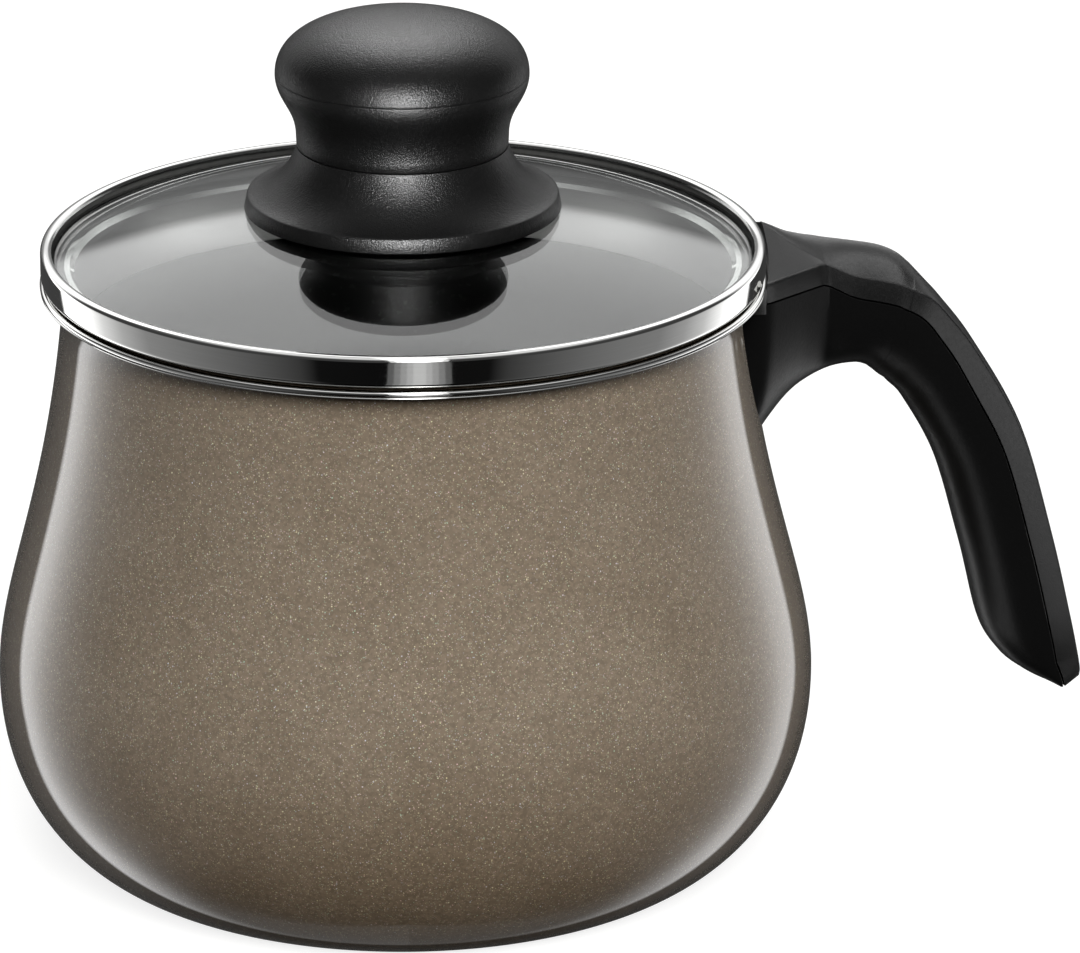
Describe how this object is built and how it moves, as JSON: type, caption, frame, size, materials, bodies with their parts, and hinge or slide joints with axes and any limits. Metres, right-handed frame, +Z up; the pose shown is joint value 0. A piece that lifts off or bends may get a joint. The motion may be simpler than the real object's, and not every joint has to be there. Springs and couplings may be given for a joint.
{
  "type": "saucepan with glass lid",
  "caption": "Small bellied saucepan with a polished rim, a domed glass lid with a turned knob, and a downward-curving side handle.",
  "frame": {"origin": "centre of the pot's flat base, on the surface that it stands on", "axes": "+Z up along the pot's axis, +X out along the handle"},
  "size_m": [0.2277, 0.169, 0.1786],
  "materials": {
    "enamel": "glossy metallic enamel",
    "polished_steel": "polished stainless steel",
    "plain_steel": "satin steel",
    "handle_plastic": "satin phenolic",
    "knob_plastic": "fine-grained phenolic",
    "lid_glass": "clear tempered glass",
    "sealant": "silicone",
    "brass": "turned brass"
  },
  "bodies": {
    "pot": {"pot_body": "enamel", "rim_band": "polished_steel", "handle_bracket": "plain_steel", "bracket_nut": "plain_steel", "handle_grip": "handle_plastic", "handle_cover": "handle_plastic", "handle_screw": "plain_steel", "spring_washer": "plain_steel"},
    "lid": {"lid_glass": "lid_glass", "lid_ring": "polished_steel", "glass_seal": "sealant", "knob_base": "knob_plastic", "knob_grip": "knob_plastic", "knob_insert": "brass", "glass_grommet": "sealant", "lower_gasket": "sealant", "screw_washer": "plain_steel", "lid_screw": "plain_steel"}
  },
  "joints": [
    {"name": "lid_lift", "type": "slide", "parent": "pot", "child": "lid", "axis": [0, 0, 1], "range_m": [0, 0.06]}
  ]
}
